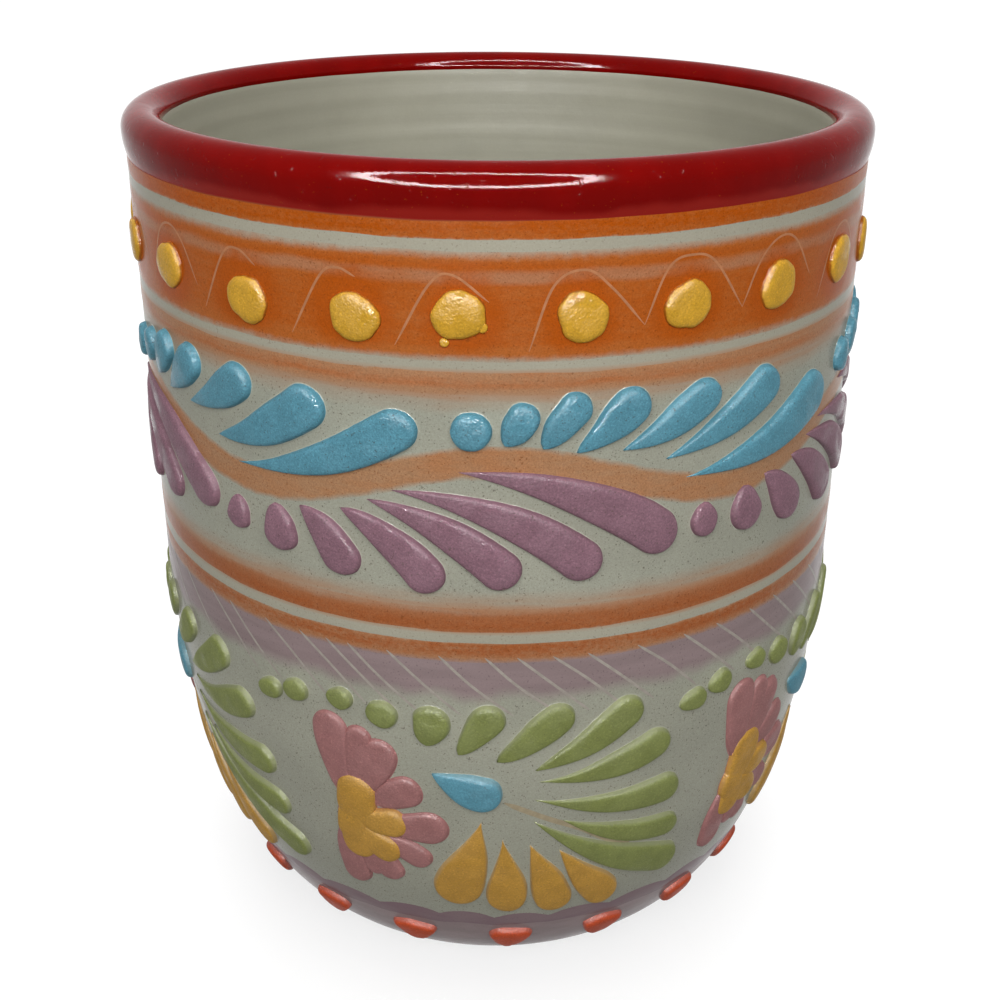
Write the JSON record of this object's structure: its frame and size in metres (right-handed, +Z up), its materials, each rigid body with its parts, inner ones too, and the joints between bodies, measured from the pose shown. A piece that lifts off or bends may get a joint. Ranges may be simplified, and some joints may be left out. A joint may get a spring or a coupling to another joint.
{
  "type": "ceramic tumbler",
  "caption": "Handmade ceramic tumbler with a rounded foot, a glazed lip, painted slip bands and raised slip plumes, beads, leaves and flowers around the wall.",
  "frame": {"origin": "centre of the foot on the table", "axes": "+Z up along the axis of the cup; the pictured side faces -Y"},
  "size_m": [0.0871, 0.0871, 0.1],
  "materials": {
    "clay": "clear gloss glaze over pale clay, bare on the foot ring",
    "inside": "gloss glaze",
    "rim_red": "gloss glaze",
    "orange_slip": "coloured slip under a clear gloss glaze",
    "tan_slip": "coloured slip under a clear gloss glaze",
    "lilac_wash": "coloured slip under a clear gloss glaze",
    "purple_slip": "coloured slip under a clear gloss glaze",
    "yellow_slip": "coloured slip under a clear gloss glaze",
    "coral_slip": "coloured slip under a clear gloss glaze",
    "blue_slip": "coloured slip under a clear gloss glaze",
    "lilac_slip": "coloured slip under a clear gloss glaze",
    "green_slip": "coloured slip under a clear gloss glaze",
    "amber_slip": "coloured slip under a clear gloss glaze",
    "pink_slip": "coloured slip under a clear gloss glaze"
  },
  "bodies": {
    "root": {"clay_body": "clay", "inside_glaze": "inside", "rim_glaze": "rim_red", "rim_stripe": "orange_slip", "bead_band": "orange_slip", "bead_stripe": "orange_slip", "wave_ribbon": "tan_slip", "waist_stripe_upper": "orange_slip", "waist_stripe_lower": "orange_slip", "wash_band": "lilac_wash", "base_band": "lilac_wash", "base_scallops": "purple_slip", "yellow_beads": "yellow_slip", "red_beads": "coral_slip", "blue_spray_1": "blue_slip", "blue_spray_2": "blue_slip", "blue_spray_3": "blue_slip", "blue_spray_4": "blue_slip", "blue_spray_5": "blue_slip", "lilac_spray_1": "lilac_slip", "lilac_spray_2": "lilac_slip", "lilac_spray_3": "lilac_slip", "lilac_spray_4": "lilac_slip", "lilac_spray_5": "lilac_slip", "green_fan_1": "green_slip", "green_fan_2": "green_slip", "green_fan_3": "green_slip", "green_fan_4": "green_slip", "green_fan_5": "green_slip", "blue_drop_1": "blue_slip", "blue_drop_2": "blue_slip", "blue_drop_3": "blue_slip", "blue_drop_4": "blue_slip", "blue_drop_5": "blue_slip", "amber_fan_1": "amber_slip", "amber_fan_2": "amber_slip", "amber_fan_3": "amber_slip", "amber_fan_4": "amber_slip", "amber_fan_5": "amber_slip", "pink_flower_1": "pink_slip", "pink_flower_2": "pink_slip", "pink_flower_3": "pink_slip", "pink_flower_4": "pink_slip", "pink_flower_5": "pink_slip", "flower_heart_1": "amber_slip", "flower_heart_2": "amber_slip", "flower_heart_3": "amber_slip", "flower_heart_4": "amber_slip", "flower_heart_5": "amber_slip"}
  },
  "joints": []
}
